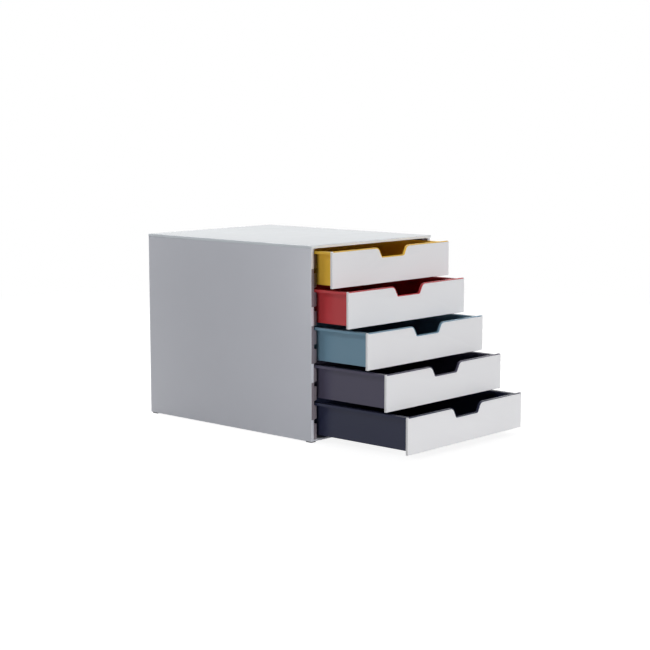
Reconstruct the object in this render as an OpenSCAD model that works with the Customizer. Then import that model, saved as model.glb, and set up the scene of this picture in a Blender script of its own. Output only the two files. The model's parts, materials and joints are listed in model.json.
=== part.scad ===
// Desk-top drawer tower: a housing of moulded panels with five clip-fronted drawers.
// Millimetres, +Z up, fronts face -Y. The origin is the centre of the housing's base,
// at the level of the surface that the feet stand on.

/* [Housing] */
// Overall width, across the top panel
housing_w = 280; // [240:1:340]
// Overall depth, across the top panel
housing_d = 356; // [300:1:420]
// Thickness of a side panel at its edges and ribs
side_t = 5.7; // [4.8:0.1:6.2]
// Thickness of a side panel between its ribs
side_field_t = 2.4; // [1.6:0.1:3.2]
// How far the side panels stand in from the top panel's edge
side_inset = 1; // [0:0.1:2]
// Height of the top panel's edge
lip_h = 4.1; // [3.6:0.1:6]
// Thickness of the top panel inside its edge
top_t = 2.6; // [1.8:0.1:3]
// Thickness of the top panel's front and rear edges
skirt_t = 1.8; // [1.4:0.1:2.4]
// Rounding of the top panel's upper edges
top_edge_r = 1; // [0.4:0.1:1.6]
// Rounding of the top panel's corners
top_corner_r = 1.5; // [1:0.1:4]
// Thickness of the bottom panel
bottom_t = 2.9; // [2.6:0.1:4]
// Height of the ribs on the bottom panel
bottom_rib_h = 1.6; // [0.8:0.1:2.4]
// Thickness of the back panel at its border
back_t = 2.4; // [2:0.1:4]
// Thickness of the back panel inside its border
back_field_t = 1.6; // [1:0.1:1.9]
// Width of the back panel's border
back_border = 16; // [8:1:40]
// How far the bottom and back panels reach into the side panels
tongue = 3; // [2.4:0.1:3.2]
// Free space at the end of each tongue
tongue_gap = 0.2; // [0.1:0.05:0.4]
// Width of the stiffening ribs of the panels
rib_t = 2.4; // [1.6:0.1:4]
// Width of the plain strip round the ribs of the side, top and bottom panels
rib_margin = 12; // [8:1:20]
// Fields between the ribs of a side panel, along its depth
side_columns = 5; // [2:1:10]
// Fields between the ribs of a side panel, up its height
side_rows = 4; // [2:1:8]
// Fields between the ribs of the top panel, across its width
top_columns = 5; // [2:1:10]
// Fields between the ribs of the top panel, along its depth
top_rows = 6; // [2:1:10]
// Fields between the ribs of the bottom panel, across its width
bottom_columns = 4; // [2:1:8]
// Depth of the pockets in the side panels' front edges, for the runners' tabs
tab_d = 3; // [2:0.1:5]
// Wall of a side panel outside these pockets
tab_skin = 1; // [0.8:0.1:1.6]
// Space round a tab in its pocket
tab_gap = 0.1; // [0.05:0.05:0.2]

/* [Feet] */
// Width of a foot
foot_w = 11; // [9:0.5:16]
// Length of a foot
foot_d = 12; // [9:0.5:20]
// Height of a foot
foot_h = 1.5; // [1:0.1:4]
// Rounding of a foot's corners
foot_r = 2; // [0.8:0.1:4]
// Rounding of a foot's lower edges
foot_edge_r = 0.5; // [0.2:0.1:0.8]
// Distance of a foot from the housing's corner
foot_inset = 0.5; // [0:0.1:4]
// Radius of a foot's peg
peg_r = 1.8; // [1.2:0.1:2.4]
// Length of a foot's peg
peg_h = 2; // [1:0.1:2.1]
// Running space round a foot's peg
peg_gap = 0.05; // [0.02:0.01:0.1]

/* [Runners] */
// Thickness of a runner at the bottom of its grooves
runner_web = 0.6; // [0.5:0.1:1.2]
// Depth of the grooves
groove_d = 5.5; // [4.5:0.1:7]
// Height of the grooves at their bottom
groove_h = 6.3; // [6:0.1:6.8]
// How much higher the grooves are at their mouth
mouth_rise = 1.4; // [0.2:0.1:1.6]
// Wall of the hollow rails between the grooves
rail_wall = 1.3; // [0.8:0.1:2]
// Drop of the stop at the front of each groove
stop_drop = 1.4; // [1.3:0.05:1.6]
// Length of each stop
stop_len = 4; // [2:0.5:8]
// Distance of the stops from the runner's front edge
stop_set = 6; // [2:0.5:12]

/* [Drawers] */
// Height from one drawer to the next
pitch = 56; // [52:1:80]
// Gap between one front and the next
front_gap = 2.2; // [1.8:0.1:4]
// Height of the lowest front above the housing's underside
base_reveal = 6; // [5:0.1:10]
// Gap between the top front and the top panel's edge
top_reveal = 2.6; // [2:0.1:5]
// How much narrower a front is than the top panel, on each side
front_reveal = 3; // [2:0.1:5]
// Space between a closed front and the side panels
closed_gap = 0.4; // [0.3:0.1:1]
// Wall thickness of a tray
tray_wall = 2; // [1.4:0.1:3]
// Thickness of a tray's front wall
tray_front_t = 2.2; // [1.8:0.1:3]
// Thickness of a tray's floor between the ribs below it
tray_floor = 2; // [1.2:0.1:3]
// Height of the ribs below a tray's floor
tray_rib_h = 0.8; // [0.4:0.1:1.2]
// Fields between the ribs below a tray's floor, across its width
tray_columns = 3; // [1:1:8]
// Fields between the ribs below a tray's floor, along its depth
tray_rows = 4; // [1:1:8]
// Width of the plain strip round the ribs below a tray's floor
tray_margin = 10; // [6:1:20]
// Rounding of a tray's rear corners
tray_r = 8; // [3:0.5:15]
// Rounding of a tray's corners behind its front wall
tray_front_r = 3; // [1:0.5:8]
// Rounding of a tray's corners behind its front
tray_corner_r = 0.5; // [0.2:0.1:1.5]
// Height of a tray's underside above its front's lower edge
tray_rise = 3; // [1:0.1:5]
// Space between a tray and the rails beside it
tray_side_gap = 2; // [1:0.1:2.6]
// Space between a tray's rear edge and the back panel, when closed
tray_back_gap = 10.4; // [4:0.1:30]

/* [Tray rims] */
// How far a rim lies below its front's upper edge
rim_drop = 1.3; // [0.8:0.1:2]
// Height of a rim's skirt
rim_h = 4; // [3.6:0.05:4.2]
// Thickness of a rim's top
rim_t = 1.8; // [1.2:0.1:2.4]
// Thickness of a rim's skirt
skirt_wall = 1.5; // [1:0.1:2]
// Space between a rim's skirt and the bottom of its groove
rim_side_gap = 0.7; // [0.3:0.1:1.2]
// Space below a rim in its groove
rim_seat = 0.3; // [0.1:0.05:0.4]
// How far a rim stands behind the rear wall
rim_back = 4; // [2:0.5:8]
// Height of the catch on each rim
catch_h = 1.6; // [1.5:0.05:1.7]
// Length of the catch on each rim
catch_len = 5; // [3:0.5:8]
// Length of the catch's level top
catch_flat = 1.6; // [1:0.2:2.6]
// Side space left on both sides of a catch
catch_side = 0.5; // [0.3:0.1:1]

/* [Fronts] */
// Thickness of a front at its edges
front_t = 4; // [3.2:0.1:6]
// Thickness of a front's face
front_face_t = 1.6; // [1.4:0.1:2.4]
// Thickness of a front's side and bottom walls
front_wall = 1.8; // [1.4:0.1:3]
// Rounding of a front's outer edges
front_edge_r = 1.2; // [0.3:0.1:1.4]
// Rounding of a front's corners
front_corner_r = 1.2; // [0.4:0.1:4]
// Width of the tray's bead that lies over a front's upper edge
bead_h = 1.3; // [1:0.1:2]
// How far the bead stays behind the front's face
bead_set = 0.2; // [0:0.1:0.8]
// Space between a front and the tray's front wall inside it
seat_gap = 0.1; // [0.05:0.05:0.2]

/* [Finger cut-outs] */
// Width of a cut-out at the top
cut_top_w = 67; // [56:1:90]
// Width of a cut-out at its bottom
cut_bottom_w = 51; // [30:1:54]
// Depth of a cut-out
cut_h = 14.5; // [8:0.5:20]
// Rounding of the cut-out's upper corners
cut_top_r = 9.5; // [3:0.5:12]
// Rounding of the cut-out's lower corners
cut_bottom_r = 2.5; // [1:0.5:6]

/* [Clips] */
// Width of a clip
clip_w = 8; // [5:0.5:12]
// Thickness of a clip's stem
clip_t = 1.6; // [1.2:0.1:2.4]
// Height of a clip's barb
barb_h = 0.8; // [0.4:0.1:1.2]
// Length of a clip's barb
barb_len = 1.4; // [1:0.1:2]
// Length of a barb's level top
barb_flat = 0.4; // [0.2:0.1:0.8]
// Space round a clip
clip_gap = 0.2; // [0.1:0.05:0.4]
// Distance of the inner clips from the middle
clip_x_inner = 60; // [52:1:75]
// Distance of the outer clips from the middle
clip_x_outer = 108; // [90:1:110]
// Height of the lower clips above the tray's underside
clip_z_low = 10; // [7:0.5:16]
// Distance of the upper clips below the front's upper edge
clip_z_high = 13; // [9:0.5:18]

/* [Drawer travel] */
// Travel from closed to the stop
pull_max = 250; // [200:1:260]
// Space left between catch and stop at full travel
catch_gap = 0.3; // [0.2:0.05:1]
// How far drawer 1, the top one, stands open
open_1 = 35.5; // [0:0.5:200]
// How far drawer 2 stands open
open_2 = 66.5; // [0:0.5:200]
// How far drawer 3 stands open
open_3 = 103; // [0:0.5:200]
// How far drawer 4 stands open
open_4 = 138; // [0:0.5:200]
// How far drawer 5, the bottom one, stands open
open_5 = 177.5; // [0:0.5:200]

/* [Hidden] */
$fn = 48;

// Cutting tools reach this far past the faces they cut
past = 1;
// Straight pieces in each rounded corner of a cut-out
arc_steps = 8;

drawer_count = 5;
groove_count = 2 * drawer_count;
opened = [open_1, open_2, open_3, open_4, open_5];

housing_colour = "gainsboro";
top_colour = "white";
foot_colour = "dimgray";
front_colour = "whitesmoke";
tray_colours = ["goldenrod", "indianred", "lightslategray", "#55505a", "#414452"];

// Places across the width, from the outside in
side_x = housing_w / 2 - side_inset;
liner_x = side_x - side_t;
groove_x = liner_x - runner_web;
rail_x = groove_x - groove_d;

// Places along the depth
front_y = skirt_t - housing_d / 2;
rear_y = housing_d / 2;
back_y = rear_y - skirt_t - back_t;
closed_y = front_y - closed_gap;

// Places up the height
base_z = foot_h;
deck_z = base_z + bottom_t;
edge_z = base_z + base_reveal + drawer_count * pitch - front_gap + top_reveal;
housing_h = edge_z + lip_h;
field_z = housing_h - top_t;

// Sizes of a front
front_w = housing_w - 2 * front_reveal;
front_h = pitch - front_gap;

// Front wall of a tray, which stands in the hollow of its front: its outer face from the
// front's rear face, its width, and its upper edge above the tray's underside
wall_y = front_face_t - front_t + seat_gap;
wall_w = front_w - 2 * (front_wall + seat_gap);
wall_h = front_h - tray_rise;

// Sizes of a tray
tray_w = 2 * (rail_x - tray_side_gap);
tray_d = back_y - closed_y - tray_back_gap - wall_y;
tray_h = wall_h - rim_drop;
tray_body_d = tray_d - rim_back;
rim_w = 2 * (groove_x - rim_side_gap);
floor_z = tray_rib_h + tray_floor;
catch_w = (rim_w - tray_w) / 2 - tray_side_gap - 2 * catch_side;
catch_y = pull_max + catch_gap + closed_gap + stop_set + stop_len - wall_y;

// Height of drawer i's front, counted from 1 at the top
function front_z(i) = base_z + base_reveal + (drawer_count - i) * pitch;
// Bottom of groove k, counted from 0 at the top
function groove_z(k) = front_z(1) + front_h - rim_drop - rim_h - rim_seat - k * pitch / 2;
// Points along an arc
function arc(x, y, r, from, to) =
    [for (s = [0:arc_steps]) let (a = from + (to - from) * s / arc_steps) [x + r * cos(a), y + r * sin(a)]];
function mirrored(points) = [for (s = [len(points) - 1:-1:0]) [-points[s].x, points[s].y]];

// ---------- shapes that several pieces share ----------

// Rectangle from its lower left corner, with rounded corners
module round_rect(w, h, r) {
    translate([r, 0]) square([w - 2 * r, h]);
    translate([0, r]) square([w, h - 2 * r]);
    for (x = [r, w - r], y = [r, h - r]) translate([x, y]) circle(r);
}

// Rectangle whose upper corners alone are rounded
module crown_profile(w, h, r) {
    square([w, h - r]);
    translate([r, 0]) square([w - 2 * r, h]);
    for (x = [r, w - r]) translate([x, h - r]) circle(r);
}

// Slab with rounded corners, whose upper edges are rounded too
module crowned_slab(w, d, t, corner_r, edge_r) {
    intersection() {
        linear_extrude(t) round_rect(w, d, corner_r);
        translate([0, d + past, 0]) rotate([90, 0, 0])
            linear_extrude(d + 2 * past) crown_profile(w, t, edge_r);
        translate([-past, 0, 0]) rotate([90, 0, 90])
            linear_extrude(w + 2 * past) crown_profile(d, t, edge_r);
    }
}

// Blocks that leave a grid of ribs between them when they are cut away
module rib_pockets(w, d, depth, columns, rows) {
    cell_w = (w + rib_t) / columns;
    cell_d = (d + rib_t) / rows;
    for (column = [0:columns - 1], row = [0:rows - 1])
        translate([column * cell_w, row * cell_d, 0])
            cube([cell_w - rib_t, cell_d - rib_t, depth]);
}

// Finger cut-out, measured down from y = 0 and made larger all round by grow
module cut_outline(grow = 0) {
    slant = atan2(cut_h, (cut_top_w - cut_bottom_w) / 2);
    lower_x = cut_bottom_w / 2 - cut_bottom_r * tan(slant / 2);
    upper_x = cut_top_w / 2 + cut_top_r * tan(slant / 2);
    half = concat(
        arc(lower_x, cut_bottom_r - cut_h, cut_bottom_r + grow, 270, 270 + slant),
        arc(upper_x, -cut_top_r, cut_top_r - grow, 90 + slant, 90),
        [[upper_x, past]]);
    polygon(concat(half, mirrored(half)));
}

// Turns an outline drawn in X and Z into a plate of thickness t, from y = 0 backwards
module upright(t) {
    translate([0, t, 0]) rotate([90, 0, 0]) linear_extrude(t) children();
}

// Gives the right-hand piece from the left-hand one
module other_side() {
    mirror([1, 0, 0]) children();
}

// ---------- housing ----------

// Side panel on the right, with pockets between its inner ribs
module side_panel() {
    panel_h = edge_z - base_z;
    difference() {
        translate([liner_x, front_y, base_z]) cube([side_t, rear_y - front_y, panel_h]);
        // Seats of the bottom panel and the back panel
        translate([liner_x - past, front_y - past, base_z - past])
            cube([tongue + tongue_gap + past, rear_y - skirt_t - front_y + past, bottom_t + past]);
        translate([liner_x - past, back_y, base_z - past])
            cube([tongue + tongue_gap + past, back_t, panel_h + 2 * past]);
        // Pockets between the ribs on the inner face
        translate([liner_x - past, front_y + rib_margin, base_z + rib_margin])
            rotate([90, 0, 90]) rib_pockets(
                back_y - front_y - 2 * rib_margin, panel_h - 2 * rib_margin,
                side_t - side_field_t + past, side_columns, side_rows);
        // Pockets in the front edge for the runner's tabs
        at_tabs() translate([liner_x - past, front_y - past, 0])
            cube([side_t - tab_skin + past, tab_d + past, pitch]);
    }
}

// Lower ends of the tabs, which are two half pitches long in every three
module at_tabs() {
    for (k = [1:3:groove_count - 2])
        translate([0, 0, groove_z(k + 2) + groove_h]) children();
}

// Section of a rail from z = low to z = high, whose underside rises to the mouth
module rail_section(low, high, rise) {
    polygon([[rail_x, low + rise], [groove_x, low], [liner_x, low], [liner_x, high], [rail_x, high]]);
}

// Hollow of a rail, open towards the side panel
module rail_hollow(low, high, rise) {
    polygon([
        [rail_x + rail_wall, low + rise + rail_wall], [groove_x, low + rail_wall],
        [liner_x + past, low + rail_wall], [liner_x + past, high - rail_wall],
        [rail_x + rail_wall, high - rail_wall]]);
}

// Ribbed liner on the right, whose grooves carry the rims of the trays and whose tabs
// fill the pockets in the side panel's front edge
module runner() {
    length = back_y - front_y;
    for (k = [0:groove_count - 1]) {
        floor_k = groove_z(k);
        ceiling_k = floor_k + groove_h;
        // Bottom of the groove
        translate([groove_x, front_y, floor_k - rail_wall])
            cube([runner_web, length, groove_h + 2 * rail_wall]);
        // Stop under the groove's ceiling
        translate([rail_x, front_y + stop_set, ceiling_k - stop_drop])
            cube([groove_d, stop_len, stop_drop + mouth_rise]);
        // Hollow rail below the groove
        lowest = k == groove_count - 1;
        low = lowest ? deck_z : groove_z(k + 1) + groove_h;
        rise = lowest ? 0 : mouth_rise;
        difference() {
            translate([0, front_y, 0]) upright(length) rail_section(low, floor_k, rise);
            translate([0, front_y + rail_wall, 0])
                upright(length - 2 * rail_wall) rail_hollow(low, floor_k, rise);
        }
    }
    // Strip above the first groove
    translate([0, front_y, 0]) upright(length)
        rail_section(groove_z(0) + groove_h, field_z, mouth_rise);
    // Tabs that locate the liner in the side panel's front edge
    at_tabs() translate([groove_x, front_y, tab_gap])
        cube([side_x - tab_skin - tab_gap - groove_x, tab_d - tab_gap, pitch - 2 * tab_gap]);
}

module side_panel_left() { color(housing_colour) other_side() side_panel(); }
module side_panel_right() { color(housing_colour) side_panel(); }
module runner_left() { color(housing_colour) other_side() runner(); }
module runner_right() { color(housing_colour) runner(); }

// Top panel: a field with an edge that hangs round it, ribbed below
module top_panel() {
    inner_x = rail_x - rib_margin;
    recess_h = field_z - edge_z + past;
    color(top_colour) difference() {
        translate([-housing_w / 2, -housing_d / 2, edge_z])
            crowned_slab(housing_w, housing_d, lip_h, top_corner_r, top_edge_r);
        // Seats of the runners and the back panel
        for (x = [-liner_x, inner_x]) translate([x, front_y, edge_z - past])
            cube([liner_x - inner_x, back_y - front_y, recess_h]);
        translate([-liner_x, back_y, edge_z - past]) cube([2 * liner_x, back_t, recess_h]);
        // Pockets between the ribs
        translate([rib_t - inner_x, front_y + rib_margin, edge_z - past]) rib_pockets(
            2 * (inner_x - rib_t), back_y - front_y - 2 * rib_margin,
            recess_h, top_columns, top_rows);
    }
}

module bottom_panel() {
    half_w = liner_x + tongue;
    outer_rib_x = rail_x - rib_margin;
    color(housing_colour) difference() {
        union() {
            translate([-half_w, front_y, base_z]) cube([2 * half_w, rear_y - skirt_t - front_y, bottom_t]);
            // Ribs that run from front to back
            for (k = [0:bottom_columns])
                translate([(2 * k / bottom_columns - 1) * outer_rib_x - rib_t / 2,
                           front_y + rib_margin, deck_z])
                    cube([rib_t, back_y - front_y - 2 * rib_margin, bottom_rib_h]);
        }
        for (x = [-1, 1], y = [-1, 1]) foot_place(x, y)
            translate([0, 0, foot_h - past]) cylinder(r = peg_r + peg_gap, h = peg_h + tongue_gap + past);
    }
}

// Back panel, whose tongues end below the top panel's edge
module back_panel() {
    half_w = liner_x + tongue;
    color(housing_colour) translate([0, back_y, 0]) difference() {
        union() {
            upright(back_t) translate([-half_w, deck_z]) square([2 * half_w, edge_z - deck_z]);
            upright(back_t) translate([-liner_x, deck_z]) square([2 * liner_x, field_z - deck_z]);
        }
        // Field of the rear face
        translate([0, back_field_t, 0]) upright(back_t)
            translate([back_border - liner_x, deck_z + back_border])
                square([2 * (liner_x - back_border), field_z - deck_z - 2 * back_border]);
    }
}

// Centre of a foot, at the level it stands on
module foot_place(side_sign, depth_sign) {
    x = side_x - foot_inset - foot_w / 2;
    y = depth_sign < 0 ? front_y + foot_inset + foot_d / 2
                       : rear_y - skirt_t - foot_inset - foot_d / 2;
    translate([side_sign * x, y, 0]) children();
}

// Pad with rounded lower edges, and a peg that is pressed into the bottom panel
module foot(side_sign, depth_sign) {
    color(foot_colour) foot_place(side_sign, depth_sign) {
        translate([-foot_w / 2, foot_d / 2, foot_h]) rotate([180, 0, 0])
            crowned_slab(foot_w, foot_d, foot_h, foot_r, foot_edge_r);
        cylinder(r = peg_r, h = foot_h + peg_h);
    }
}

module foot_front_left() { foot(-1, -1); }
module foot_front_right() { foot(1, -1); }
module foot_back_left() { foot(-1, 1); }
module foot_back_right() { foot(1, 1); }

// ---------- drawers ----------
// A drawer's own origin is the middle of its front's lower edge, on the front's rear face

module in_drawer(i) {
    translate([0, closed_y - opened[i - 1], front_z(i)]) children();
}

// Where the clips are: heights above the front's lower edge, with the side their barb points to
clip_rows = [[tray_rise + clip_z_low, -1], [front_h - clip_z_high, 1]];
clip_columns = [-clip_x_outer, -clip_x_inner, clip_x_inner, clip_x_outer];

module at_clips() {
    for (row = clip_rows, x = clip_columns)
        translate([x, 0, row[0]]) mirror([0, 0, row[1] < 0 ? 1 : 0]) children();
}

// Plan of a tray: square in front, rounded behind
module tray_plan(w, d, front_r, rear_r) {
    translate([-w / 2, 0]) difference() {
        square([w, d]);
        for (side = [0, 1]) translate([side * w, d]) mirror([side, 0]) corner_waste(rear_r);
        for (side = [0, 1]) translate([side * w, 0]) mirror([side, 0]) mirror([0, 1]) corner_waste(front_r);
    }
}

// What a rounded upper left corner at the origin removes
module corner_waste(r) {
    difference() {
        translate([-past, -r]) square([r + past, r + past]);
        translate([r, -r]) circle(r);
    }
}

// Outline of a tray's front wall, which fills the hollow of its front
module wall_outline() {
    low = front_wall + seat_gap - tray_rise;
    difference() {
        translate([-wall_w / 2, low]) square([wall_w, wall_h - low]);
        translate([0, wall_h]) cut_outline();
    }
}

// Outline of the bead along the front wall's upper edge and round its cut-out
module bead_outline() {
    bead_t = bead_h - seat_gap;
    difference() {
        wall_outline();
        difference() {
            translate([-wall_w / 2 - past, -tray_rise]) square([wall_w + 2 * past, front_h - bead_t]);
            translate([0, wall_h]) cut_outline(bead_t);
        }
    }
}

// Tray from the outer face of its front wall backwards, above its underside
module tray(i) {
    cavity_w = tray_w - 2 * tray_wall;
    cavity_d = tray_body_d - tray_wall - tray_front_t;
    bead_y = bead_set - front_t - wall_y;
    color(tray_colours[i - 1]) in_drawer(i) translate([0, wall_y, tray_rise]) {
        difference() {
            union() {
                linear_extrude(tray_h) tray_plan(tray_w, tray_body_d, tray_corner_r, tray_r);
                // Rim: a flat top with a skirt that hangs from its edge
                translate([0, 0, tray_h - rim_t])
                    linear_extrude(rim_t) tray_plan(rim_w, tray_d, tray_corner_r, tray_r);
                translate([0, 0, tray_h - rim_h]) linear_extrude(rim_h) difference() {
                    tray_plan(rim_w, tray_d, tray_corner_r, tray_r);
                    translate([0, -past]) tray_plan(
                        rim_w - 2 * skirt_wall, tray_d - skirt_wall + past,
                        tray_corner_r, tray_r - skirt_wall);
                }
                upright(tray_front_t) wall_outline();
                translate([0, bead_y, 0]) upright(tray_front_t - bead_y) bead_outline();
            }
            translate([0, tray_front_t, floor_z]) linear_extrude(tray_h)
                tray_plan(cavity_w, cavity_d, tray_front_r, tray_r - tray_wall);
            translate([0, -past, wall_h]) upright(tray_front_t + 2 * past) cut_outline();
            // Pockets between the ribs below the floor
            translate([tray_margin - tray_w / 2, tray_margin, -past]) rib_pockets(
                tray_w - 2 * tray_margin, tray_body_d - 2 * tray_margin,
                tray_rib_h + past, tray_columns, tray_rows);
            // Windows for the clips of the front
            translate([0, 0, -tray_rise]) at_clips()
                translate([-clip_w / 2 - clip_gap, -past, -clip_gap - clip_t])
                    cube([clip_w + 2 * clip_gap, tray_front_t + 2 * past, clip_t + 2 * clip_gap]);
        }
        // Catches that meet the stops in the grooves
        for (x = [-rim_w / 2 + catch_side, rim_w / 2 - catch_side - catch_w])
            translate([x, 0, 0]) rotate([90, 0, 90]) linear_extrude(catch_w) catch_profile();
    }
}

// Catch in Y and Z: upright in front and ramped behind, so that the tray can be pushed in
module catch_profile() {
    polygon([
        [catch_y, tray_h - rim_t / 2], [catch_y, tray_h + catch_h],
        [catch_y + catch_flat, tray_h + catch_h], [catch_y + catch_len, tray_h],
        [catch_y + catch_len, tray_h - rim_t / 2]]);
}

// Front: a shallow cap round the tray's front wall, with clips that hook behind that wall
module drawer_front(i) {
    hollow_d = front_t - front_face_t;
    hollow_w = front_w - 2 * front_wall;
    color(front_colour) in_drawer(i) {
        difference() {
            translate([-front_w / 2, 0, 0]) rotate([90, 0, 0])
                crowned_slab(front_w, front_h, front_t, front_corner_r, front_edge_r);
            // Room for the tray's bead along the upper edge and round the cut-out
            translate([0, -front_t - past, front_h]) upright(front_t + 2 * past) {
                translate([-hollow_w / 2, -bead_h]) square([hollow_w, bead_h + past]);
                cut_outline(bead_h);
            }
            // Hollow behind the face, open at the top
            translate([0, -hollow_d, 0]) upright(hollow_d + past)
                translate([-hollow_w / 2, front_wall]) square([hollow_w, front_h]);
        }
        at_clips() rotate([90, 0, 90]) translate([0, 0, -clip_w / 2]) linear_extrude(clip_w) clip_profile();
    }
}

// Clip in Y and Z, pointing back, with its barb above it
module clip_profile() {
    root = front_face_t / 2 - front_t;
    catch = wall_y + tray_front_t + clip_gap;
    polygon([
        [root, -clip_t], [catch + barb_len, -clip_t], [catch + barb_len, 0],
        [catch + barb_flat, barb_h + clip_gap], [catch, barb_h + clip_gap], [catch, 0], [root, 0]]);
}

side_panel_left();
side_panel_right();
runner_left();
runner_right();
top_panel();
bottom_panel();
back_panel();
foot_front_left();
foot_front_right();
foot_back_left();
foot_back_right();
tray(1);  // tray_1
tray(2);  // tray_2
tray(3);  // tray_3
tray(4);  // tray_4
tray(5);  // tray_5
drawer_front(1);  // front_1
drawer_front(2);  // front_2
drawer_front(3);  // front_3
drawer_front(4);  // front_4
drawer_front(5);  // front_5
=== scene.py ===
"""Looks for a desk-top drawer tower: a grey moulded housing and five coloured trays behind white fronts.

Laid out as a Blender add-on and run as a script. Lengths are metres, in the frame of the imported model:
+Z is up, the drawers pull out towards -Y, and the origin is the centre of the base.
"""

import json
import math

import bmesh
import bpy
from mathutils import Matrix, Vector, geometry


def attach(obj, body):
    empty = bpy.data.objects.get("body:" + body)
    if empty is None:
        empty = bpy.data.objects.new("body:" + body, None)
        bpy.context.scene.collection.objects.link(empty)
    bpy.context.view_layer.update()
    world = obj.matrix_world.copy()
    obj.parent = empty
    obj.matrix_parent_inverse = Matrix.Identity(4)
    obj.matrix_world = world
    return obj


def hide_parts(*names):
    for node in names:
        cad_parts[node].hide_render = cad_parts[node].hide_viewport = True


bl_info = {
    "name": "Drawer Tower",
    "version": (1, 0, 0),
    "blender": (4, 5, 0),
    "location": "View3D > Sidebar > Drawer Tower",
    "description": "Builds and finishes a plastic drawer tower around its packed frame",
    "category": "Object",
}

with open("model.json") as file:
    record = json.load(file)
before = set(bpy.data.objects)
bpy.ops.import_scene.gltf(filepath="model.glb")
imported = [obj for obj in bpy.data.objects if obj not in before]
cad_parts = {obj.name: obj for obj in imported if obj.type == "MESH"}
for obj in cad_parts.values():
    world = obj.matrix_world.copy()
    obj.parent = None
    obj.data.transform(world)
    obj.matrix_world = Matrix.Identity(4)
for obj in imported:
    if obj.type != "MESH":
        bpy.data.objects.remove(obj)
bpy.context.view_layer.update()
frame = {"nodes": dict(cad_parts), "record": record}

MM = 0.001
DRAWERS = range(1, 6)
SIDES = ("left", "right")
ENDS = ("front", "back")
WHITE = (1, 1, 1, 1)

# Merging: corners closer than WELD become one, and faces that turn by less than FLAT become one face
WELD = 0.002 * MM
FLAT = math.radians(0.2)

# Rounding: an edge is rounded if it turns by more than SHARP, as less is a facet of a curve, and if the
# faces beside it are at least ROOM roundings wide. Edges shorter than SPECK are closed up afterwards.
SHARP = math.radians(30)
ROOM = 2.2
SPECK = 0.005 * MM
LINER_SHARE = 0.6    # the liners' ribs are finer, so they get this share of the housing's rounding
FOOT_EDGE = 0.1 * MM

# Moulded plastic: cells per metre of each pattern, and how far it goes
FLOW_SCALE = 9.0
FLOW_TONE = 0.01
SMUDGE_SCALE = 34.0
SMUDGE_LOW, SMUDGE_HIGH = 0.95, 1.06
PEEL_SCALE = 420.0
PEEL_DEPTH = 0.012 * MM

# Rubber: the same, and its even roughness
GRAIN_SCALE = 1600.0
GRAIN_DEPTH = 0.05 * MM
DUST_SCALE = 260.0
DUST_LOW, DUST_HIGH = 0.85, 1.2
RUBBER_ROUGHNESS = 0.78

# The middle of a pattern's values, which is spread out; what lies beyond it is held at its ends
MIDDLE_LOW, MIDDLE_HIGH = 0.3, 0.7

# Lights: degrees round from the front, to the right of someone who faces it, and above the horizon,
# then distance and size in metres
LIGHTS = {
    "key": (-6, 5, 5.5, 1.1),
    "side": (-98, 10, 4.5, 1.8),
    "back": (-133, 35, 4.0, 0.8),
    "top": (165, 60, 3.4, 2.0),
    "right": (100, 25, 4.5, 2.0),
}

# The floor: how pale it is, how much of its white is its own, and the radius within which it fades to
# white, from MIDDLE_LOW of that radius to MIDDLE_HIGH of it
FLOOR_TONE = 0.4
FLOOR_GLOW = 0.87
FLOOR_FADE = 2.6
FLOOR_SIZE = 24
FLOOR_DROP = 0.1 * MM    # how far it lies below the feet, so that the two don't share a plane

# The camera: width of its sensor in millimetres, and the nearest and farthest that it sees
SENSOR = 36
NEAREST, FARTHEST = 0.1, 50


# ---------- settings ----------

def length(name, description, millimetres):
    """A property for a length in the interface's own unit."""
    return bpy.props.FloatProperty(
        name=name, description=description, default=millimetres * MM, min=0,
        subtype="DISTANCE", unit="LENGTH")


def colour(name, description, rgb):
    """A property for a linear colour."""
    return bpy.props.FloatVectorProperty(
        name=name, description=description, default=rgb, size=3, min=0, max=1, subtype="COLOR")


def share(name, description, value, high=1):
    """A property for a plain number from 0."""
    return bpy.props.FloatProperty(name=name, description=description, default=value, min=0, max=high)


def angle(name, description, degrees):
    """A property for an angle."""
    return bpy.props.FloatProperty(
        name=name, description=description, default=math.radians(degrees), subtype="ANGLE", unit="ROTATION")


class TOWER_PG_housing(bpy.types.PropertyGroup):
    """Finish of the housing and its feet"""
    shell: colour("Shell", "Colour of the side, bottom and back panels", (0.6, 0.614, 0.67))
    # Painted shade: the runners are of the housing's plastic, and this grey is the shell's darkened to
    # stand in for the shade in their recessed fronts
    liner: colour("Liner", "Colour of the runners, a darker grey", (0.2, 0.175, 0.2))
    # Painted light and painted reflection: the top is of the housing's plastic, and this colour is the
    # shell's made lighter and bluer to stand in for the light on it and the bluish room it mirrors
    top: colour("Top", "Colour of the top panel", (0.71, 0.755, 0.8))
    feet: colour("Feet", "Colour of the rubber feet", (0.05, 0.05, 0.052))
    edge: length("Edge rounding", "Rounding of the moulded edges", 0.4)
    roughness: share("Roughness", "Roughness of the panels and the liners", 0.3)
    gloss: share("Gloss", "Strength of the panels' reflections", 0.35)
    liner_gloss: share("Liner gloss", "Strength of the liners' reflections", 0.3)
    polish: share("Top roughness", "Roughness of the top panel, which mirrors the room a little", 0.2)
    top_gloss: share("Top gloss", "Strength of the top panel's reflections", 0.5)


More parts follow.
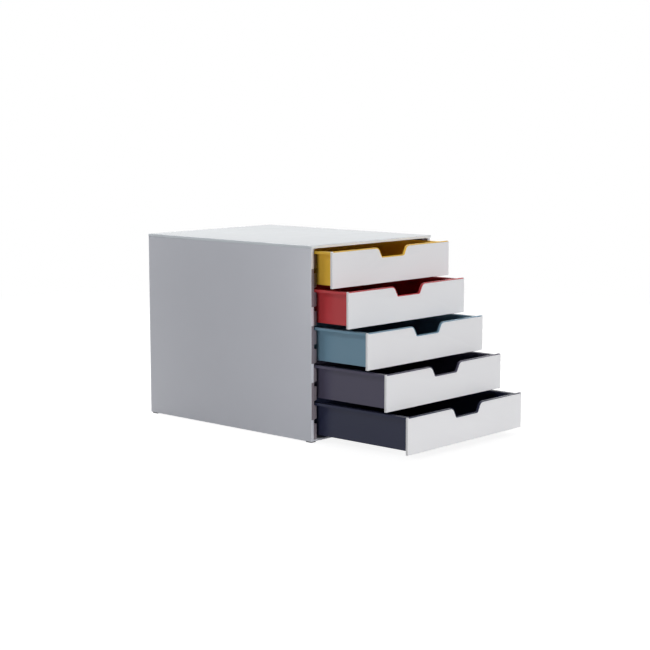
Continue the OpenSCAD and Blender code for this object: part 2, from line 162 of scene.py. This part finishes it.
class TOWER_PG_trays(bpy.types.PropertyGroup):
    """Finish of the five trays, from the top down"""
    tray_1: colour("Tray 1", "Colour of the top tray, yellow", (0.96, 0.59, 0.07))
    tray_2: colour("Tray 2", "Colour of the second tray, red", (0.64, 0.058, 0.068))
    tray_3: colour("Tray 3", "Colour of the third tray, blue-grey", (0.198, 0.35, 0.465))
    tray_4: colour("Tray 4", "Colour of the fourth tray, violet-grey", (0.096, 0.088, 0.14))
    tray_5: colour("Tray 5", "Colour of the bottom tray, dark slate", (0.03, 0.035, 0.076))
    edge: length("Edge rounding", "Rounding of the moulded edges", 0.35)
    roughness: share("Roughness", "Roughness of the tray walls", 0.24)
    gloss: share("Gloss", "Strength of the trays' reflections", 0.15)


class TOWER_PG_fronts(bpy.types.PropertyGroup):
    """Finish of the white fronts"""
    white: colour("White", "Colour of the fronts", (0.83, 0.83, 0.85))
    edge: length("Edge rounding", "Rounding of the edges that the mould leaves sharp", 0.4)
    roughness: share("Roughness", "Roughness of the fronts", 0.34)
    gloss: share("Gloss", "Strength of the fronts' reflections", 0.35)


class TOWER_PG_studio(bpy.types.PropertyGroup):
    """Camera and light"""
    azimuth: angle("Azimuth", "Camera's turn round the tower, 0 from the front", -47.9)
    elevation: angle("Elevation", "Camera's height above the horizon", 7.73)
    distance: length("Distance", "Camera's distance from the origin along its own view", 2498.8)
    slide: length("Slide", "Camera's offset to its right", 57.8)
    rise: length("Rise", "Camera's offset upwards", 144.8)
    lens: share("Focal length", "Focal length in millimetres on a 36 mm sensor", 85.46, high=300)
    key: share("Key light", "Power of the low light in front, in watts", 200, high=500)
    side: share("Side light", "Power of the soft light on the left side, in watts", 47, high=500)
    back: share("Back light", "Power of the light behind the left side, in watts", 31, high=500)
    right: share("Right light", "Power of the soft light on the right side, in watts", 60, high=500)
    top: share("Top light", "Power of the high light behind the tower, in watts", 54, high=500)
    world: share("World light", "Level of the even light from all round", 0.01, high=2)


# ---------- working on a mesh in edit mode ----------

def select_only(obj):
    """Makes obj the one selected and active object."""
    bpy.ops.object.select_all(action="DESELECT")
    obj.select_set(True)
    bpy.context.view_layer.objects.active = obj


def edit(obj):
    """Opens obj in edit mode with nothing selected."""
    select_only(obj)
    bpy.ops.object.mode_set(mode="EDIT")
    bpy.ops.mesh.select_all(action="DESELECT")


def finish_edit():
    """Leaves edit mode."""
    bpy.ops.object.mode_set(mode="OBJECT")


def pick_edges(obj, test):
    """Selects the edges in edit mode that pass the test."""
    mesh = bmesh.from_edit_mesh(obj.data)
    bpy.ops.mesh.select_mode(type="EDGE")
    for edge in mesh.edges:
        edge.select_set(test(edge))
    bmesh.update_edit_mesh(obj.data)


def is_sharp(edge):
    """True for an edge between two faces that meet at a sharp angle."""
    return len(edge.link_faces) == 2 and edge.calc_face_angle(0) > SHARP


def apart(point, start, end):
    """Distance from a point to the stretch between two others."""
    along = geometry.intersect_point_line(point, start, end)[1]
    return (point - start.lerp(end, min(max(along, 0), 1))).length


def has_room(edge, width):
    """True where the faces beside an edge are wide enough to round both of their sides."""
    for loop in edge.link_loops:
        start, end = loop.vert.co, loop.link_loop_next.vert.co
        middle = (start + end) / 2
        for other in loop.face.loops:
            begin, finish = other.vert.co, other.link_loop_next.vert.co
            if other.edge is edge or (finish - begin).dot(end - start) >= 0:
                continue
            gap = min(apart(middle, begin, finish), apart((begin + finish) / 2, start, end))
            if gap < ROOM * width:
                return False
    return True


def moulded_copy(node, name):
    """A copy of a CAD node with its loose triangles merged into whole faces."""
    select_only(frame["nodes"][node])
    bpy.ops.object.duplicate()
    obj = bpy.context.object
    obj.name = obj.data.name = name
    # The properties that mark a CAD node belong to the node alone
    for key in list(obj.keys()):
        del obj[key]
    obj.parent = None
    edit(obj)
    bpy.ops.mesh.select_all(action="SELECT")
    bpy.ops.mesh.remove_doubles(threshold=WELD)
    bpy.ops.mesh.dissolve_limited(angle_limit=FLAT)
    finish_edit()
    bpy.ops.mesh.customdata_custom_splitnormals_clear()
    return obj


def round_edges(obj, width, segments=2):
    """Rounds the piece's sharp edges, but for those of features too small for it."""
    edit(obj)
    pick_edges(obj, lambda edge: is_sharp(edge) and has_room(edge, width))
    bpy.ops.mesh.bevel(offset=width, segments=segments, affect="EDGES", clamp_overlap=False)
    bpy.ops.mesh.select_all(action="SELECT")
    bpy.ops.mesh.dissolve_degenerate(threshold=SPECK)
    finish_edit()
    bpy.ops.object.shade_smooth_by_angle(angle=SHARP)


def place(obj, body, slot, material, *nodes):
    """Gives a piece its material, and lets it ride on its body in place of its CAD nodes; the slot argument
    is not used.
    """
    obj.data.materials.clear()
    obj.data.materials.append(material)
    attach(obj, body)
    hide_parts(*nodes)


# ---------- materials ----------

class Nodes:
    """Short calls for wiring up a material's or a world's nodes, which start empty."""

    def __init__(self, owner):
        owner.use_nodes = True
        self.owner = owner
        self.tree = owner.node_tree
        self.tree.nodes.clear()

    def add(self, kind, *inputs, **named):
        """Adds a node. An input, by place or by name, gets a value or another node's output."""
        node = self.tree.nodes.new(kind)
        given = dict(enumerate(inputs))
        given.update((name.replace("_", " "), value) for name, value in named.items())
        for key, value in given.items():
            if isinstance(value, bpy.types.NodeSocket):
                self.tree.links.new(value, node.inputs[key])
            else:
                node.inputs[key].default_value = value
        return node

    def combine(self, operation, first, second):
        """Works out one number from two, by a Math node's operation."""
        node = self.add("ShaderNodeMath", first, second)
        node.operation = operation
        return node.outputs["Value"]

    def ranged(self, value, low, high):
        """Spreads the middle of a pattern's values over low to high."""
        node = self.add(
            "ShaderNodeMapRange", Value=value,
            From_Min=MIDDLE_LOW, From_Max=MIDDLE_HIGH, To_Min=low, To_Max=high)
        return node.outputs["Result"]

    def noise(self, scale, **named):
        """A noise pattern that is fixed to the piece."""
        coordinates = self.add("ShaderNodeTexCoord").outputs["Object"]
        return self.add("ShaderNodeTexNoise", Vector=coordinates, Scale=scale, **named).outputs["Fac"]


def moulded_plastic(name, rgb, roughness, gloss):
    """Injection-moulded plastic: slight flow marks in the tone, uneven gloss and a fine orange peel."""
    nodes = Nodes(bpy.data.materials.new(name))
    flow = nodes.noise(FLOW_SCALE, Detail=2.0, Roughness=0.45)
    lightness = nodes.ranged(flow, 1 - FLOW_TONE, 1 + FLOW_TONE)
    tint = nodes.add("ShaderNodeHueSaturation", Color=(*rgb, 1.0), Value=lightness)
    smudge = nodes.noise(SMUDGE_SCALE, Detail=3.0, Roughness=0.55)
    uneven = nodes.ranged(smudge, roughness * SMUDGE_LOW, roughness * SMUDGE_HIGH)
    peel = nodes.noise(PEEL_SCALE, Detail=1.0, Roughness=0.4)
    bump = nodes.add("ShaderNodeBump", Height=peel, Strength=1.0, Distance=PEEL_DEPTH)
    shader = nodes.add(
        "ShaderNodeBsdfPrincipled", Base_Color=tint.outputs["Color"], Roughness=uneven,
        Specular_IOR_Level=gloss, Normal=bump.outputs["Normal"])
    nodes.add("ShaderNodeOutputMaterial", Surface=shader.outputs["BSDF"])
    return nodes.owner


def soft_rubber(name, rgb):
    """Matt rubber with a fine even grain and a little dust."""
    nodes = Nodes(bpy.data.materials.new(name))
    grain = nodes.noise(GRAIN_SCALE, Detail=2.0)
    bump = nodes.add("ShaderNodeBump", Height=grain, Strength=0.5, Distance=GRAIN_DEPTH)
    dust = nodes.ranged(nodes.noise(DUST_SCALE, Detail=2.0), DUST_LOW, DUST_HIGH)
    tint = nodes.add("ShaderNodeHueSaturation", Color=(*rgb, 1.0), Value=dust)
    shader = nodes.add(
        "ShaderNodeBsdfPrincipled", Base_Color=tint.outputs["Color"], Roughness=RUBBER_ROUGHNESS,
        Normal=bump.outputs["Normal"])
    nodes.add("ShaderNodeOutputMaterial", Surface=shader.outputs["BSDF"])
    return nodes.owner


# ---------- operators ----------

class TOWER_OT_housing(bpy.types.Operator):
    """Rounds and finishes the side, bottom and back panels"""
    bl_idname = "tower.housing"
    bl_label = "Housing"

    def execute(self, context):
        look = context.scene.tower_housing
        material = moulded_plastic("housing_shell", look.shell, look.roughness, look.gloss)
        for node in ("side_panel_left", "side_panel_right", "bottom_panel", "back_panel"):
            obj = moulded_copy(node, f"{node}_shell")
            round_edges(obj, look.edge)
            place(obj, "housing", "housing_shell", material, node)
        return {"FINISHED"}


class TOWER_OT_runners(bpy.types.Operator):
    """Rounds and finishes the ribbed liners that carry the trays"""
    bl_idname = "tower.runners"
    bl_label = "Runners"

    def execute(self, context):
        look = context.scene.tower_housing
        # The liners' dark grey is painted shade, not a plastic of their own
        material = moulded_plastic("runner_liner", look.liner, look.roughness, look.liner_gloss)
        for side in SIDES:
            obj = moulded_copy(f"runner_{side}", f"runner_{side}_liner")
            round_edges(obj, look.edge * LINER_SHARE)
            place(obj, "housing", "runner_liner", material, f"runner_{side}")
        return {"FINISHED"}


class TOWER_OT_top(bpy.types.Operator):
    """Rounds and finishes the top panel"""
    bl_idname = "tower.top"
    bl_label = "Top panel"

    def execute(self, context):
        look = context.scene.tower_housing
        # The top's lighter, bluer colour is painted light and painted reflection
        material = moulded_plastic("top_shell", look.top, look.polish, look.top_gloss)
        obj = moulded_copy("top_panel", "top_shell")
        round_edges(obj, look.edge)
        place(obj, "housing", "top_shell", material, "top_panel")
        return {"FINISHED"}


class TOWER_OT_feet(bpy.types.Operator):
    """Breaks the edges of the four rubber feet and finishes them"""
    bl_idname = "tower.feet"
    bl_label = "Feet"

    def execute(self, context):
        material = soft_rubber("foot_pad", context.scene.tower_housing.feet)
        for end in ENDS:
            for side in SIDES:
                node = f"foot_{end}_{side}"
                obj = moulded_copy(node, f"{node}_pad")
                round_edges(obj, FOOT_EDGE, segments=1)
                place(obj, "housing", "foot_pad", material, node)
        return {"FINISHED"}


class TOWER_OT_trays(bpy.types.Operator):
    """Rounds and finishes the five coloured trays"""
    bl_idname = "tower.trays"
    bl_label = "Trays"

    def execute(self, context):
        look = context.scene.tower_trays
        slots = {part["node"]: part["material_slot"] for part in frame["record"]["subparts"]}
        for number in DRAWERS:
            node = f"tray_{number}"
            material = moulded_plastic(slots[node], getattr(look, node), look.roughness, look.gloss)
            obj = moulded_copy(node, f"{node}_shell")
            round_edges(obj, look.edge)
            place(obj, f"drawer_{number}", slots[node], material, node)
        return {"FINISHED"}


class TOWER_OT_fronts(bpy.types.Operator):
    """Rounds and finishes the five white fronts"""
    bl_idname = "tower.fronts"
    bl_label = "Fronts"

    def execute(self, context):
        look = context.scene.tower_fronts
        material = moulded_plastic("front_shell", look.white, look.roughness, look.gloss)
        for number in DRAWERS:
            obj = moulded_copy(f"front_{number}", f"front_{number}_cap")
            round_edges(obj, look.edge)
            place(obj, f"drawer_{number}", "front_shell", material, f"front_{number}")
        return {"FINISHED"}


class TOWER_OT_studio(bpy.types.Operator):
    """Adds the floor, the soft light and the camera"""
    bl_idname = "tower.studio"
    bl_label = "Studio"

    def execute(self, context):
        look = context.scene.tower_studio
        add_camera(look)
        add_floor()
        add_world(look.world)
        add_lights(look)
        context.scene.view_settings.view_transform = "Standard"
        return {"FINISHED"}


def direction(azimuth, elevation):
    """The unit vector from the tower towards what stands at these angles."""
    return Vector((
        math.sin(azimuth) * math.cos(elevation),
        -math.cos(azimuth) * math.cos(elevation),
        math.sin(elevation)))


def add_camera(look):
    """A camera off the tower's front left edge, looking down a little, as in the photograph."""
    back = direction(look.azimuth, look.elevation)
    right = Vector((0, 0, 1)).cross(back).normalized()
    up = back.cross(right)
    bpy.ops.object.camera_add(location=back * look.distance + right * look.slide + up * look.rise)
    camera = bpy.context.object
    camera.rotation_mode = "QUATERNION"
    camera.rotation_quaternion = back.to_track_quat("Z", "Y")
    camera.data.sensor_width = SENSOR
    camera.data.lens = look.lens
    camera.data.clip_start = NEAREST
    camera.data.clip_end = FARTHEST
    bpy.context.scene.camera = camera


def seen_directly(nodes):
    """1 for rays from the camera and for those that a reflection or a clear part sends on, else 0."""
    path = nodes.add("ShaderNodeLightPath").outputs
    mirrored = nodes.combine("MAXIMUM", path["Is Camera Ray"], path["Is Glossy Ray"])
    return nodes.combine("MAXIMUM", mirrored, path["Is Transmission Ray"])


def add_floor():
    """A plain pale floor that keeps the tower's soft shadow, and fades to white further away."""
    bpy.ops.mesh.primitive_plane_add(size=FLOOR_SIZE, location=(0, 0, -FLOOR_DROP))
    floor = bpy.context.object
    floor.name = "studio_floor"
    nodes = Nodes(bpy.data.materials.new("studio_floor"))
    coordinates = nodes.add("ShaderNodeTexCoord").outputs["Object"]
    scaled = nodes.add("ShaderNodeMapping", Vector=coordinates, Scale=(1 / FLOOR_FADE,) * 3)
    near = nodes.add("ShaderNodeTexGradient", Vector=scaled.outputs["Vector"])
    near.gradient_type = "SPHERICAL"
    seen = seen_directly(nodes)
    own_light = nodes.combine("MULTIPLY", seen, FLOOR_GLOW)
    glow = nodes.add("ShaderNodeEmission", Color=WHITE, Strength=own_light)
    pale = nodes.add("ShaderNodeBsdfDiffuse", Color=(FLOOR_TONE, FLOOR_TONE, FLOOR_TONE, 1))
    lit = nodes.add("ShaderNodeAddShader", pale.outputs["BSDF"], glow.outputs["Emission"])
    white = nodes.add("ShaderNodeEmission", Color=WHITE, Strength=seen)
    mix = nodes.add(
        "ShaderNodeMixShader", nodes.ranged(near.outputs["Fac"], 0, 1),
        white.outputs["Emission"], lit.outputs["Shader"])
    nodes.add("ShaderNodeOutputMaterial", Surface=mix.outputs["Shader"])
    floor.data.materials.append(nodes.owner)


def add_world(level):
    """White where it is seen, and an even dimmer light on the tower."""
    world = bpy.data.worlds.new("studio_world")
    bpy.context.scene.world = world
    nodes = Nodes(world)
    lit = nodes.add("ShaderNodeBackground", Color=WHITE, Strength=level)
    seen = nodes.add("ShaderNodeBackground", Color=WHITE, Strength=1.0)
    mix = nodes.add(
        "ShaderNodeMixShader", seen_directly(nodes), lit.outputs["Background"], seen.outputs["Background"])
    nodes.add("ShaderNodeOutputWorld", Surface=mix.outputs["Shader"])


def add_lights(look):
    """A low light in front, two on the left side, one on the right and a high one behind for the top."""
    for name, (azimuth, elevation, distance, size) in LIGHTS.items():
        towards = direction(math.radians(azimuth), math.radians(elevation))
        bpy.ops.object.light_add(type="AREA", location=towards * distance)
        light = bpy.context.object
        light.name = f"{name}_light"
        light.data.shape = "DISK"
        light.data.size = size
        light.data.energy = getattr(look, name)
        light.rotation_mode = "QUATERNION"
        light.rotation_quaternion = towards.to_track_quat("Z", "Y")
        # Mirrored in the glossy top, the low light would be a white spot in views from behind
        light.visible_glossy = name != "key"


class TOWER_PT_panel(bpy.types.Panel):
    """Lists the tower's pieces and their settings"""
    bl_idname = "TOWER_PT_panel"
    bl_label = "Drawer Tower"
    bl_space_type = "VIEW_3D"
    bl_region_type = "UI"
    bl_category = "Drawer Tower"

    def draw(self, context):
        for group, operators in STEPS:
            box = self.layout.box()
            settings = getattr(context.scene, group)
            for name in settings.bl_rna.properties.keys():
                if name not in ("rna_type", "name"):
                    box.prop(settings, name)
            for operator in operators:
                box.operator(operator.bl_idname)


# The operators in their order, each group of them with the settings that it reads
STEPS = (
    ("tower_studio", (TOWER_OT_studio,)),
    ("tower_housing", (TOWER_OT_housing, TOWER_OT_runners, TOWER_OT_top, TOWER_OT_feet)),
    ("tower_trays", (TOWER_OT_trays,)),
    ("tower_fronts", (TOWER_OT_fronts,)),
)
GROUPS = {
    "tower_housing": TOWER_PG_housing,
    "tower_trays": TOWER_PG_trays,
    "tower_fronts": TOWER_PG_fronts,
    "tower_studio": TOWER_PG_studio,
}
CLASSES = (*GROUPS.values(), *(op for _, operators in STEPS for op in operators), TOWER_PT_panel)


def register():
    """Registers the classes and hangs the settings on the scene."""
    for cls in CLASSES:
        bpy.utils.register_class(cls)
    for name, group in GROUPS.items():
        setattr(bpy.types.Scene, name, bpy.props.PointerProperty(type=group))


def unregister():
    """Takes back what register did."""
    for name in GROUPS:
        delattr(bpy.types.Scene, name)
    for cls in reversed(CLASSES):
        bpy.utils.unregister_class(cls)


def main():
    """Builds the scene."""
    register()
    for _, operators in STEPS:
        for operator in operators:
            family, name = operator.bl_idname.split(".")
            getattr(getattr(bpy.ops, family), name)()


if __name__ == "__main__":
    main()
